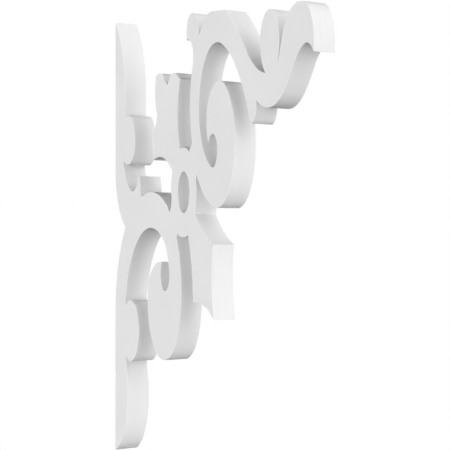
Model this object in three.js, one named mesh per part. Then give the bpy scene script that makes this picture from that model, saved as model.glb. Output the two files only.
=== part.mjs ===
// A scroll-sawn PVC gable bracket: one flat board with its outline cut in curls, lobes and slots.
// Millimetres, +Z up, +X away from the wall. The back edge bears on the wall at x = 0, and the origin
// is in the middle of the upper of its two flat strips, halfway through the thickness.

import * as THREE from "three";

// Driving dimensions
const HEIGHT = 566; // bottom tip to the level of the soffit, which four of the curls touch
const THICKNESS = 38; // two layers of 19 mm board, or one of 1 1/2 in trim stock
const WALL_STRIP_FOOT = 371; // the upper wall strip runs from here to the top
const LOWER_STRIP_HEAD = 184; // the lower wall strip runs from the bottom tip to here

// The pattern is a compass drawing narrowed to two fifths of its width, so every curve is an arc of
// a circle there and of an ellipse here. Radii are given as heights, which the narrowing leaves alone.
const NARROWING = 0.4;
const CHORD_ERROR = 0.05; // how far a straight facet may stand off the true curve

// Sizes that come back round the pattern
const EYE_RADIUS = 21.3; // the round end of each spiral's slot
const CENTRE_HOLE = { x: 130.3, z: 338.5, radius: 26.5 };

const WHITE_PVC = { color: 0xeeeff0, roughness: 0.5, metalness: 0 };

// A pen that walks round the outline with the solid on its left. Heights are from the bottom tip.
class Pen {
  constructor(x, z) {
    this.points = [new THREE.Vector2(x, z)];
  }

  get last() {
    return this.points[this.points.length - 1];
  }

  line(x, z) {
    this.points.push(new THREE.Vector2(x, z));
    return this;
  }

  // An arc that swells out of the bracket.
  swell(x, z, radius, farWay = false) {
    return this.arc(x, z, radius, 1, farWay);
  }

  // An arc that is scooped out of it.
  scoop(x, z, radius, farWay = false) {
    return this.arc(x, z, radius, -1, farWay);
  }

  arc(x, z, radius, turn, farWay) {
    const from = new THREE.Vector2(this.last.x / NARROWING, this.last.y);
    const to = new THREE.Vector2(x / NARROWING, z);
    const chord = to.clone().sub(from);
    const half = chord.length() / 2;
    const r = Math.max(radius, half);
    const rise = Math.sqrt(r * r - half * half) * (farWay ? -1 : 1) * turn;
    const across = new THREE.Vector2(-chord.y, chord.x).normalize();
    const centre = from.clone().lerp(to, 0.5).addScaledVector(across, rise);
    const start = from.clone().sub(centre).angle();
    const shortSweep = 2 * Math.asin(half / r);
    const sweep = (farWay ? 2 * Math.PI - shortSweep : shortSweep) * turn;
    const step = 2 * Math.acos(1 - CHORD_ERROR / r);
    const count = Math.ceil(Math.abs(sweep) / step);
    for (let i = 1; i < count; i++) {
      const angle = start + (sweep * i) / count;
      const px = centre.x + r * Math.cos(angle);
      this.points.push(new THREE.Vector2(px * NARROWING, centre.y + r * Math.sin(angle)));
    }
    this.points.push(new THREE.Vector2(x, z));
    return this;
  }
}

// The edge that faces the wall: two flat strips with a curled V between them.
function wallEdge(pen) {
  pen.line(0, WALL_STRIP_FOOT);
  pen.swell(20, 294, 84);
  pen.swell(0, LOWER_STRIP_HEAD, 149);
  pen.line(0, 0);
}

// The pointed leaf that hangs down the wall, and the round lobe over it.
function lowerLeafAndLobe(pen) {
  pen.swell(21.5, 108, 76);
  pen.line(20.8, 125);
  pen.swell(20.5, 191, 40, true);
}

// The arch over the lower spiral, which runs down into the eye of its slot.
function lowerArch(pen) {
  pen.line(20, 199);
  pen.scoop(91, 279.8, 125);
  pen.scoop(103, 242.5, 66);
  pen.scoop(88.8, 246, EYE_RADIUS, true);
  pen.line(89, 248.5);
}

// The outside of the lower spiral, from its lip round to the foot of the slot beside it.
function lowerSpiral(pen) {
  pen.swell(64, 222, 67);
  pen.swell(94, 122.3, 77.5);
  pen.swell(124, 178.5, 77.5);
  pen.swell(117, 280.5, 122);
  pen.line(118.7, 285.5);
}

// The slot between the spiral and the finial, whose head sags in the middle.
function lowerSlot(pen) {
  pen.swell(138.4, 283.3, 86);
  pen.scoop(148.1, 197.8, 193);
}

// The flared finial that points out and down, with its hollow end.
function finial(pen) {
  pen.scoop(185.6, 176, 163);
  pen.scoop(183.6, 271.7, 162);
  pen.scoop(150.8, 311, 210);
  pen.swell(152.8, 353, 56);
  pen.line(154.5, 361);
}

// The outside of the upper spiral, from the finial's neck round to its lip.
function upperSpiral(pen) {
  pen.swell(191, 317.7, 124);
  pen.swell(203, 474, 81.5);
  pen.swell(182, 468.5, 61);
  pen.swell(175.3, 400, 46.5);
}

// Its slot: the eye, the tall arch over the spiral, and the long sweep down to the nub.
function upperArch(pen) {
  pen.scoop(180.3, 369.8, EYE_RADIUS, true);
  pen.scoop(158.2, 444.7, 77);
  pen.scoop(199.5, 523.5, 82);
  pen.scoop(225, 491.8, 165);
  pen.scoop(249.3, 423, 213);
  pen.line(251, 421.5);
}

// The nub, and the underside of the arm out to the corner of the hook.
function nubAndArm(pen) {
  pen.swell(260, 449.5, 25);
  pen.swell(306, 458, 128);
  pen.swell(324, 493, 330);
  pen.scoop(338, 512.2, 95);
  pen.scoop(355.5, 504, 42);
}

// The hook under the soffit, with the saw kerf that parts it from the lobe behind.
function hook(pen) {
  pen.swell(336.4, HEIGHT, 48.5);
  pen.line(332.4, HEIGHT);
  pen.swell(302.2, 520, 84);
  pen.line(296.5, 494);
}

// The outer lobe, and the sweep that rises from it to the flat under the soffit.
function outerLobe(pen) {
  pen.line(298.7, 516);
  pen.swell(276, 482.5, 40.7, true);
  pen.scoop(246, 506, 155);
  pen.swell(205, HEIGHT, 460);
}

// The soffit flat, the round shoulder behind it, and the small lobe beside that.
function innerLobe(pen) {
  pen.line(182.5, HEIGHT);
  pen.swell(160.5, 540.5, 70.5);
  pen.line(157.4, 537.5);
  pen.swell(147.5, HEIGHT, 24.2);
  pen.line(145.3, HEIGHT);
  pen.swell(136.3, 532.5, 24.5);
}

// The hollow under the small lobe and the slot between the spiral and the post.
function upperSlot(pen) {
  pen.scoop(146.3, 497, 23);
  pen.swell(146.2, 400, 112);
  pen.swell(140.5, 390.3, 37);
  pen.swell(123.2, 394, 75);
  pen.scoop(123.8, 484, 95);
}

// The post, with a notch in its head like the top of a letter M.
function post(pen) {
  pen.scoop(119, 488.2, 30);
  pen.swell(114.5, 492.2, 16);
  pen.swell(106, 489.5, 60);
  pen.swell(101, 477.5, 30);
  pen.scoop(91.3, 491.6, 45);
  pen.swell(84, 492.5, 50);
  pen.swell(78.5, 489, 20);
  pen.swell(80.5, 438.5, 56);
  pen.scoop(73.2, 420, 22);
  pen.swell(74.2, 381, 68);
}

// The window under the post: its arched head, the cusp in its corner and the saddle along its sill.
function window(pen) {
  pen.scoop(109.5, 365.7, 102);
  pen.swell(107.3, 338, 50);
  pen.scoop(104.3, 313, 21);
  pen.line(101.5, 318.3);
  pen.swell(51, 333.5, 166);
}

// The thumb that stands on the sill, and the hollow between it and the wall.
function thumb(pen) {
  pen.line(49.1, 342);
  pen.swell(46.8, 361, 40);
  pen.line(44.4, 361);
  pen.scoop(29, 344.2, 27);
  pen.scoop(15.5, 382.5, 54);
}

// The upper lobe, and the leaf that rises from it to the top of the wall strip.
function upperLobeAndLeaf(pen) {
  pen.swell(25.5, 376.6, 60);
  pen.swell(25.5, 441.2, 32.3);
  pen.swell(17.9, 437.5, 32.3);
  pen.swell(0, HEIGHT, 130);
}

function outline() {
  const pen = new Pen(0, HEIGHT);
  const features = [
    wallEdge, lowerLeafAndLobe, lowerArch, lowerSpiral, lowerSlot, finial, upperSpiral, upperArch,
    nubAndArm, hook, outerLobe, innerLobe, upperSlot, post, window, thumb, upperLobeAndLeaf,
  ];
  for (const draw of features) draw(pen);
  return pen.points.slice(0, -1); // the last point is the first one again
}

function centreHole() {
  const { x, z, radius } = CENTRE_HOLE;
  const pen = new Pen(x, z + radius);
  pen.scoop(x, z - radius, radius);
  pen.scoop(x, z + radius, radius);
  return new THREE.Path(pen.points.slice(0, -1));
}

function scrollBracket() {
  const face = new THREE.Shape(outline());
  face.holes.push(centreHole());
  const board = new THREE.ExtrudeGeometry(face, { depth: THICKNESS, bevelEnabled: false });
  board.rotateX(Math.PI / 2); // the drawing's upright becomes +Z and its depth runs along -Y
  board.translate(0, THICKNESS / 2, -(HEIGHT + WALL_STRIP_FOOT) / 2);
  const mesh = new THREE.Mesh(board, new THREE.MeshStandardMaterial(WHITE_PVC));
  mesh.name = "scroll_bracket";
  return mesh;
}

const bracket = new THREE.Group();
bracket.add(scrollBracket());

export default bracket;
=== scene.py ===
# %% [markdown]
# # A scroll-sawn PVC bracket
#
# The real object is one flat board of white cellular PVC, 38 mm thick. A router has followed a
# pattern of curls, leaves and lobes through it. The board's two faces keep the smooth skin that the
# sheet was made with. The edge all round is the cut: dull, with fine marks where the cutter passed.
#
# The construction model already has the true outline, so nothing is drawn again here. This script
# takes that solid, joins its loose triangles, eases its corners as a sander would, gives the faces
# and the cut edge a finish each, and sets up a plain studio.

# %% Load the construction model
import math

import bmesh
import bpy
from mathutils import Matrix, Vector


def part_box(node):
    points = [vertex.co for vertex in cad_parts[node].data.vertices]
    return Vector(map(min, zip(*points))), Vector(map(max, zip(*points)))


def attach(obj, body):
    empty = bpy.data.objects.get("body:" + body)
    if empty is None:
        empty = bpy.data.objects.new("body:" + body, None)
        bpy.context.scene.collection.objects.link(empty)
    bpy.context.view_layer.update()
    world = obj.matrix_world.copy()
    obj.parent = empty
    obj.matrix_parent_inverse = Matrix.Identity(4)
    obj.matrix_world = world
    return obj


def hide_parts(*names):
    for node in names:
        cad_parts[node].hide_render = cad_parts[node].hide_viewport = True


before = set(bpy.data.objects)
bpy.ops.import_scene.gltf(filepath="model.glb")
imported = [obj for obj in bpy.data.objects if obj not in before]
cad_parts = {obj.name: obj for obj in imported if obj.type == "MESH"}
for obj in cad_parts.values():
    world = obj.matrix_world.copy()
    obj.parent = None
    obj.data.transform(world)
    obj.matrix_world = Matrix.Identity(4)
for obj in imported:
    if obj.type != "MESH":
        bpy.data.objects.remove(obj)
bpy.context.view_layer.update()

MM = 0.001

# %% [markdown]
# ## Measures that the rest is worked out from
#
# The board stands in the XZ plane with its back edge on the wall at X = 0. Its faces are at the
# least and greatest Y. Everything below is placed from the solid's own box, so the looks follow the
# construction if its size ever changes.

# %% The board's own measures
board_low, board_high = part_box("scroll_bracket")
board_centre = (board_low + board_high) / 2
thickness = board_high.y - board_low.y
print(f"board: {thickness / MM:.0f} mm thick, {(board_high.z - board_low.z) / MM:.0f} mm high")

# %% [markdown]
# ## The camera
#
# The photo looks along the diagonal between the board's front face and the cut edges that face away
# from the wall. Upright lines stay upright in it, so the camera is level, and the edges hardly
# converge, so it is a long lens a few paces off. The horizon lies just under the middle of the
# picture, which is a tilt of less than half a degree.

# %% Set up the camera
CAMERA_TURN = math.radians(45)  # from straight in front of the board towards its free edges
CAMERA_TILT = math.radians(0.445)
CAMERA_DISTANCE = 2.537
CAMERA_ASIDE = 5.8 * MM  # how far the board's centre is left of the lens's axis
CAMERA_BELOW = 6.3 * MM  # how far the lens is under the board's centre
LENS_MM = 160.0

towards_camera = Vector((math.sin(CAMERA_TURN), -math.cos(CAMERA_TURN), 0))
to_the_right = Vector((math.cos(CAMERA_TURN), math.sin(CAMERA_TURN), 0))
camera_place = board_centre + towards_camera * CAMERA_DISTANCE + to_the_right * CAMERA_ASIDE
camera_place.z -= CAMERA_BELOW

bpy.ops.object.camera_add(
    location=camera_place, rotation=(math.radians(90) + CAMERA_TILT, 0, CAMERA_TURN)
)
camera = bpy.context.active_object
camera.name = "camera"
camera.data.lens = LENS_MM
bpy.context.scene.camera = camera
print("camera at", [round(c, 3) for c in camera_place])

# %% [markdown]
# ## The board: joining the solid's triangles
#
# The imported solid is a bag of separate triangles. Shown as it is, each curve would look like a row
# of little flats, and every corner would be sharp enough to cut. So a copy is made, the flat shading
# that is stored with it is cleared, its corners are merged, and the flat triangles of each face are
# dissolved into large ones. The copy then stands for the solid, which stays in the model unseen.
#
# The outline could also be drawn again as Blender curves. That would leave two drawings of one
# shape, and they would drift apart.


# %% A helper that leaves one object selected
def select_only(piece):
    bpy.ops.object.select_all(action="DESELECT")
    piece.select_set(True)
    bpy.context.view_layer.objects.active = piece


# %% Copy the solid and join its triangles
SAME_CORNER = 0.01 * MM  # corners nearer to each other than this are one
STILL_FLAT = math.radians(0.5)  # triangles that turn by less than this are one face

select_only(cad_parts["scroll_bracket"])
bpy.ops.object.duplicate()
board = bpy.context.active_object
board.name = "bracket_board"
board.parent = None
board.data.materials.clear()
for frame_mark in list(board.keys()):  # the notes that make an object one of the frame's solids
    del board[frame_mark]

bpy.ops.mesh.customdata_custom_splitnormals_clear()
bpy.ops.object.mode_set(mode="EDIT")
bpy.ops.mesh.select_all(action="SELECT")
bpy.ops.mesh.remove_doubles(threshold=SAME_CORNER)
bpy.ops.mesh.dissolve_limited(angle_limit=STILL_FLAT)
bpy.ops.object.mode_set(mode="OBJECT")
print("joined board:", len(board.data.vertices), "corners and", len(board.data.polygons), "faces")

# %% [markdown]
# ## A map that follows the cutter
#
# The marks that a router leaves run across the thickness and repeat along its path. A pattern in
# plain X, Y and Z can't follow a curl, so the cut edge gets a map of its own: U is the way that the
# cutter has gone, and V is the way through the board, both in metres.
#
# A face of the board has its normal along Y, and a wall face of the cut has its normal square to
# that. An edge between the two kinds is a rim. The front rim is walked round once for the outline
# and once for the hole, and each wall face takes its place from that walk.

# %% Find the rims and walk along them
HALFWAY = 0.5  # a wall face has a normal with no Y in it, and a face of the board one that is all Y


def is_wall(face):
    return abs(face.normal.y) < HALFWAY


def is_rim(edge):
    return len({is_wall(face) for face in edge.link_faces}) == 2


def rim_walks(mesh):
    """The front rim as closed walks: each a list of (corner, edge to the next corner)."""
    left = {e for e in mesh.edges if is_rim(e) and e.verts[0].co.y < board_centre.y}
    walks = []
    while left:
        start = min(left, key=lambda e: e.index)
        edge, corner, walk = start, start.verts[0], []
        while edge:
            left.discard(edge)
            walk.append((corner, edge))
            corner = edge.other_vert(corner)
            edge = next((e for e in corner.link_edges if e in left), None)
        walks.append(walk)
    return walks


# %% Give each wall face its place along the cut
mesh = bmesh.new()
mesh.from_mesh(board.data)
cut_path = mesh.loops.layers.uv.new("cut_path")
for walk in rim_walks(mesh):
    gone = 0.0
    for corner, edge in walk:
        wall = next(face for face in edge.link_faces if is_wall(face))
        for loop in wall.loops:
            ahead = (loop.vert.co.xz - corner.co.xz).length
            loop[cut_path].uv = (gone + ahead, loop.vert.co.y)
        gone += edge.calc_length()
    print(f"cutter path of {gone:.2f} m in {len(walk)} steps")
mesh.to_mesh(board.data)
mesh.free()

# %% [markdown]
# ## Eased corners
#
# Routed PVC is run over with a sanding pad, because a sharp corner of it chips and won't hold
# paint. What stays is a rounding of about a quarter of a millimetre. It is too small to see as a
# shape, but it keeps the rim from looking like a knife edge close up.
#
# A Bevel modifier makes it. The rounding can't be the same everywhere: in the tip of a leaf or at
# the end of a saw kerf there is no room for it, and the faces would fold over each other. So each
# rim edge gets a weight, which falls off towards the nearest sharp corner of the outline.

# %% Weigh the rim edges by how much room they have
ARRIS = 0.25 * MM  # the rounding on a long clear stretch
ROOM_FOR_FULL_ARRIS = 18 * MM  # nearer to a sharp corner than this the rounding gets less
LEAST_SHARE = 0.04
SHARP_TURN = math.radians(50)  # a corner of the outline that turns by more than this is sharp


def turn_at(corner):
    """How sharply the rim turns at one of its corners."""
    onward, backward = (e.other_vert(corner).co - corner.co for e in corner.link_edges if is_rim(e))
    return math.pi - onward.angle(backward)


mesh = bmesh.new()
mesh.from_mesh(board.data)
weight = mesh.edges.layers.float.new("bevel_weight_edge")
rim = [edge for edge in mesh.edges if is_rim(edge)]
rim_corners = {corner for edge in rim for corner in edge.verts}
sharp = [corner.co for corner in rim_corners if turn_at(corner) > SHARP_TURN]
for edge in rim:
    middle = (edge.verts[0].co + edge.verts[1].co) / 2
    room = min((middle - place).length for place in sharp)
    edge[weight] = max(LEAST_SHARE, min(1.0, room / ROOM_FOR_FULL_ARRIS))
mesh.to_mesh(board.data)
mesh.free()
print(len(rim), "rim edges,", len(sharp) // 2, "sharp corners on each face")

# %% [markdown]
# The modifiers are applied one after the other. Weighted Normal comes last: it lets each large flat
# face keep its own direction, so the rounding and the curls shade smoothly without a smear across
# the faces.
#
# From one step of a curl to the next the wall turns by about 20 degrees at the most, and five steps
# take the rounding through its quarter turn in less than that each. A real crease, such as the one
# at the finial's neck, turns by more and stays crisp.

# %% Round the corners and smooth the shading
ARRIS_STEPS = 5
SMOOTH_UP_TO = math.radians(22)
LARGEST_FIRST = 100  # the setting at which the largest face alone gives a corner its normal


def apply_modifier(piece, kind, **settings):
    select_only(piece)
    modifier = piece.modifiers.new(kind.title(), kind)
    for setting, value in settings.items():
        setattr(modifier, setting, value)
    bpy.ops.object.modifier_apply(modifier=modifier.name)


apply_modifier(
    board, "BEVEL", limit_method="WEIGHT", width=ARRIS, segments=ARRIS_STEPS, use_clamp_overlap=False
)
bpy.ops.object.shade_smooth_by_angle(angle=SMOOTH_UP_TO)
apply_modifier(board, "WEIGHTED_NORMAL", keep_sharp=True, weight=LARGEST_FIRST)
print("finished board:", sum(len(f.vertices) - 2 for f in board.data.polygons), "triangles")

# %% [markdown]
# ## Materials
#
# Colours are written as they are picked from a screen, in hex, and one function turns them into the
# linear numbers that the renderer works with. Another adds a node with its settings and links, so
# that a material reads as a list of what it is made of.


# %% Two helpers for materials
def linear(hex_colour):
    """An sRGB hex colour as linear red, green, blue and a full alpha."""
    channels = [int(hex_colour[i : i + 2], 16) / 255 for i in (1, 3, 5)]
    return [c / 12.92 if c <= 0.04045 else ((c + 0.055) / 1.055) ** 2.4 for c in channels] + [1.0]


def add(material, kind, links=None, inputs=None, **settings):
    """Add a node. links maps its inputs to other nodes' outputs, and inputs sets plain values."""
    node = material.node_tree.nodes.new(kind)
    for name, value in settings.items():
        setattr(node, name, value)
    for name, value in (inputs or {}).items():
        node.inputs[name].default_value = value
    for name, output in (links or {}).items():
        material.node_tree.links.new(output, node.inputs[name])
    return node


def new_material(name):
    """A material made of nodes, with none in it yet."""
    material = bpy.data.materials.new(name)
    material.use_nodes = True
    material.node_tree.nodes.clear()
    return material


# %% [markdown]
# ### The skin of the sheet
#
# Cellular PVC is foamed as it is extruded, and the sheet leaves the cooling rolls with a closed,
# hard, satin skin. It is a clean neutral white. Close up it isn't a mirror flat: a faint orange
# peel, a few millimetres from crest to crest and some hundredths deep, breaks up the sheen. Here
# and there the rolls leave it a touch glossier.
#
# The white is set a little below that of a fresh board. A whiter one throws so much light about in
# the slots that they lose the depth of shade that the photo has.

# %% Moulded skin
PVC_IOR = 1.53
PEEL_SPACING = 3.0 * MM
PEEL_DEPTH = 0.06 * MM
CLOUD_SPACING = 70 * MM  # how far apart the slightly duller and whiter patches lie
GLOSSIEST, DULLEST = 0.46, 0.54  # the least and the greatest roughness of a satin skin

skin = new_material("cellular_pvc_moulded_skin")
place = add(skin, "ShaderNodeTexCoord").outputs["Object"]
cloud = add(skin, "ShaderNodeTexNoise", {"Vector": place}, {"Scale": 1 / CLOUD_SPACING, "Detail": 3})
white = add(skin, "ShaderNodeValToRGB", {"Fac": cloud.outputs["Fac"]})
white.color_ramp.elements[0].color = linear("#DADADA")
white.color_ramp.elements[1].color = linear("#E2E2E2")
sheen = add(
    skin, "ShaderNodeMapRange", {"Value": cloud.outputs["Fac"]}, {"To Min": GLOSSIEST, "To Max": DULLEST}
)
peel = add(skin, "ShaderNodeTexNoise", {"Vector": place}, {"Scale": 1 / PEEL_SPACING, "Detail": 1})
relief = add(
    skin, "ShaderNodeBump", {"Height": peel.outputs["Fac"]}, {"Distance": PEEL_DEPTH}
)
surface = add(
    skin,
    "ShaderNodeBsdfPrincipled",
    {
        "Base Color": white.outputs["Color"],
        "Roughness": sheen.outputs["Result"],
        "Normal": relief.outputs["Normal"],
    },
    {"IOR": PVC_IOR},
)
add(skin, "ShaderNodeOutputMaterial", {"Surface": surface.outputs["BSDF"]})
print(skin.name, "has", len(skin.node_tree.nodes), "nodes")

# %% [markdown]
# ### The routed edge
#
# The cut opens the foam. Its cells are too small to see one by one, but they scatter light, so the
# edge is as white as the skin and dull, with hardly any shine of its own. The cutter leaves two
# sorts of mark:
#
# - shallow scallops that run through the thickness, one for each bite;
# - fine lines that run along the path, one for each nick in the cutting edge. They stay at the same
#   depth in the board for a long way, which is why they look like layers.
#
# Real scallops and lines are a few tenths of a millimetre apart, too fine for a picture of the whole
# bracket, so they are drawn coarser here and kept shallow. A slow unevenness along the path comes
# from the gantry that steered the router.

# %% Marks that follow the cut
SCALLOP_SPACING = 1.6 * MM
SCALLOP_DEPTH = 0.012 * MM
SCALLOP_WAVER = 0.6  # how much they stray from even spacing
NICK_SPACING = 1.1 * MM
NICK_LENGTH = 90 * MM
NICK_DEPTH = 0.07 * MM
DRIFT_SPACING = 22 * MM
DRIFT_DEPTH = 0.08 * MM
WAVES_PER_SCALE = 20 / (2 * math.pi)  # how many bands a Wave Texture draws per unit at scale 1

edge_cut = new_material("cellular_pvc_routed_edge")
along = add(edge_cut, "ShaderNodeUVMap", uv_map="cut_path").outputs["UV"]
scallops = add(
    edge_cut,
    "ShaderNodeTexWave",
    {"Vector": along},
    {"Scale": 1 / (SCALLOP_SPACING * WAVES_PER_SCALE), "Distortion": SCALLOP_WAVER, "Detail": 1},
    wave_type="BANDS",
    bands_direction="X",
)
drift = add(edge_cut, "ShaderNodeTexNoise", {"Vector": along}, {"Scale": 1 / DRIFT_SPACING})
drawn_out = add(
    edge_cut,
    "ShaderNodeMapping",
    {"Vector": along},
    {"Scale": (1 / NICK_LENGTH, 1 / NICK_SPACING, 1)},
)
nicks = add(
    edge_cut, "ShaderNodeTexNoise", {"Vector": drawn_out.outputs["Vector"]}, {"Scale": 1, "Detail": 2}
)
print(f"scallops {SCALLOP_SPACING / MM:.1f} mm apart, nick lines {NICK_LENGTH / MM:.0f} mm long")

# %% Routed edge
CELL_SIZE = 0.35 * MM
CELL_DEPTH = 0.04 * MM
CUT_ROUGHNESS = 0.75
CUT_SHINE = 0.15  # of a specular level that is 0.5 on a closed surface

place = add(edge_cut, "ShaderNodeTexCoord").outputs["Object"]
cells = add(edge_cut, "ShaderNodeTexNoise", {"Vector": place}, {"Scale": 1 / CELL_SIZE, "Detail": 1})
relief = None
for pattern, depth in (
    (drift, DRIFT_DEPTH), (nicks, NICK_DEPTH), (scallops, SCALLOP_DEPTH), (cells, CELL_DEPTH)
):
    links = {"Height": pattern.outputs["Fac"]}
    if relief:
        links["Normal"] = relief.outputs["Normal"]
    relief = add(edge_cut, "ShaderNodeBump", links, {"Distance": depth})
# painted shade in the nick grooves: the edge's white is darker where the nick lines are low, and lighter
# on their crests
white = add(edge_cut, "ShaderNodeValToRGB", {"Fac": nicks.outputs["Fac"]})
white.color_ramp.elements[0].color = linear("#D8D8D8")
white.color_ramp.elements[1].color = linear("#E2E2E2")
surface = add(
    edge_cut,
    "ShaderNodeBsdfPrincipled",
    {"Base Color": white.outputs["Color"], "Normal": relief.outputs["Normal"]},
    {"IOR": PVC_IOR, "Roughness": CUT_ROUGHNESS, "Specular IOR Level": CUT_SHINE},
)
add(edge_cut, "ShaderNodeOutputMaterial", {"Surface": surface.outputs["BSDF"]})
print(edge_cut.name, "has", len(edge_cut.node_tree.nodes), "nodes")

# %% [markdown]
# The two finishes meet on the rounding. Sanding has gone through the skin there, so the rounding
# belongs to the cut edge, and only the dead flat faces get the skin.

# %% Give the faces and the edge their finishes
DEAD_FLAT = 0.9999  # how much of its normal a face has along Y if it is not on the rounding

board.data.materials.append(skin)
board.data.materials.append(edge_cut)
for face in board.data.polygons:
    face.material_index = 0 if abs(face.normal.y) > DEAD_FLAT else 1

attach(board, "root")
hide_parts("scroll_bracket")
print("skin faces:", sum(face.material_index == 0 for face in board.data.polygons))

# %% [markdown]
# ## The studio
#
# The photo is a cut-out on white, lit so softly that nothing throws a shadow with an edge. The
# front face is an even pale grey, the cut edges that face away from the wall are lighter, and they
# darken steadily as they turn up or down. So the light comes level from the front, and from the
# right in two parts, one high and one low, with very little from straight above or below.
#
# Three more lights stand behind for the other views. Two of them are square to what they light, the
# back face and the wall edge, so that hardly any of their light gets into the slots. The third is
# weak and fills in between them.
#
# Each is a sun with a disc that is ten to sixty degrees wide. It acts like a soft box far off, and
# its light doesn't fade across the board.


# %% Hang the lights
def add_soft_light(name, turn, height, strength, width):
    """A soft light, turned as the camera is and given a height above the horizon, in degrees."""
    bpy.ops.object.light_add(type="SUN", rotation=(math.radians(90 - height), 0, math.radians(turn)))
    light = bpy.context.active_object
    light.name = name
    light.data.energy = strength
    light.data.angle = math.radians(width)


add_soft_light("front_light", turn=25, height=0, strength=3.38, width=40)
add_soft_light("high_edge_light", turn=105, height=41, strength=1.86, width=60)
add_soft_light("low_edge_light", turn=105, height=-16, strength=0.95, width=60)
add_soft_light("back_light", turn=180, height=0, strength=2.1, width=30)
add_soft_light("wall_side_light", turn=270, height=0, strength=1.9, width=10)
add_soft_light("back_fill_light", turn=240, height=5, strength=0.4, width=60)
print(len(bpy.data.lights), "lights:", ", ".join(light.name for light in bpy.data.lights))

# %% [markdown]
# The room itself is white where the camera sees it, and much dimmer as a light.
#
# The bracket hangs high under a soffit, so the floor is far below it. It is a wide disc of pale
# plastic with a painted glow, which lights nothing. Under the bracket the painted glow is weak, so it
# is pale grey there and white edges stand out from it in the views from above. Towards its rim the
# painted glow makes it as white as the room, so that no horizon cuts across the picture. It neither
# shades the bracket nor throws light up at it.

# %% White room
ROOM_LIGHT = 0.02  # how bright the room is as a light, where 1 is the white that the camera sees

world = bpy.data.worlds.new("white_room")
bpy.context.scene.world = world
world.use_nodes = True
world.node_tree.nodes.clear()
seen = add(world, "ShaderNodeBackground", inputs={"Color": linear("#FFFFFF"), "Strength": 1.0})
felt = add(world, "ShaderNodeBackground", inputs={"Color": linear("#FFFFFF"), "Strength": ROOM_LIGHT})
ray = add(world, "ShaderNodeLightPath")
room = add(world, "ShaderNodeMixShader", {"Fac": ray.outputs["Is Camera Ray"]})
# The two things that are mixed go into inputs of one name, so these links are made by number.
world.node_tree.links.new(felt.outputs["Background"], room.inputs[1])
world.node_tree.links.new(seen.outputs["Background"], room.inputs[2])
add(world, "ShaderNodeOutputWorld", {"Surface": room.outputs["Shader"]})
print("the room is seen at", seen.inputs["Strength"].default_value, "and lights at", ROOM_LIGHT)

# %% Pale floor
FLOOR_DROP = 2.0  # how far it is below the lowest tip
FLOOR_RADIUS = 18.5
FLOOR_SIDES = 96  # enough for the rim to look round
GLOW_STARTS, GLOW_FULL = 2.0, 13.0  # distances from the middle of the floor
LEAST_GLOW = 0.12

floor_paint = new_material("floor_with_painted_glow")
place = add(floor_paint, "ShaderNodeTexCoord").outputs["Object"]
away = add(floor_paint, "ShaderNodeVectorMath", {"Vector": place}, operation="LENGTH")
# painted glow: the floor is made whiter from its middle towards its rim, and this glow lights nothing
glow = add(
    floor_paint,
    "ShaderNodeMapRange",
    {"Value": away.outputs["Value"]},
    {"From Min": GLOW_STARTS, "From Max": GLOW_FULL, "To Min": LEAST_GLOW, "To Max": 1.0},
)
surface = add(
    floor_paint,
    "ShaderNodeBsdfPrincipled",
    {"Emission Strength": glow.outputs["Result"]},
    {"Base Color": linear("#F2F2F0"), "Roughness": 0.8, "Emission Color": linear("#FFFFFF")},
)
add(floor_paint, "ShaderNodeOutputMaterial", {"Surface": surface.outputs["BSDF"]})

bpy.ops.mesh.primitive_circle_add(
    vertices=FLOOR_SIDES,
    radius=FLOOR_RADIUS,
    fill_type="NGON",
    location=(0, 0, board_low.z - FLOOR_DROP),
)
floor = bpy.context.active_object
floor.name = "floor"
floor.data.materials.append(floor_paint)
floor.visible_diffuse = False
floor.visible_shadow = False
print("floor", 2 * FLOOR_RADIUS, "m across and", FLOOR_DROP, "m below the lowest tip")

# %% [markdown]
# Blender's own choice of view transform is made for scenes with strong highlights, and turns whites
# grey. This scene is all whites, so it is shown with the plain one.

# %% Show the whites as they are
bpy.context.scene.view_settings.view_transform = "Standard"
print("view transform:", bpy.context.scene.view_settings.view_transform)
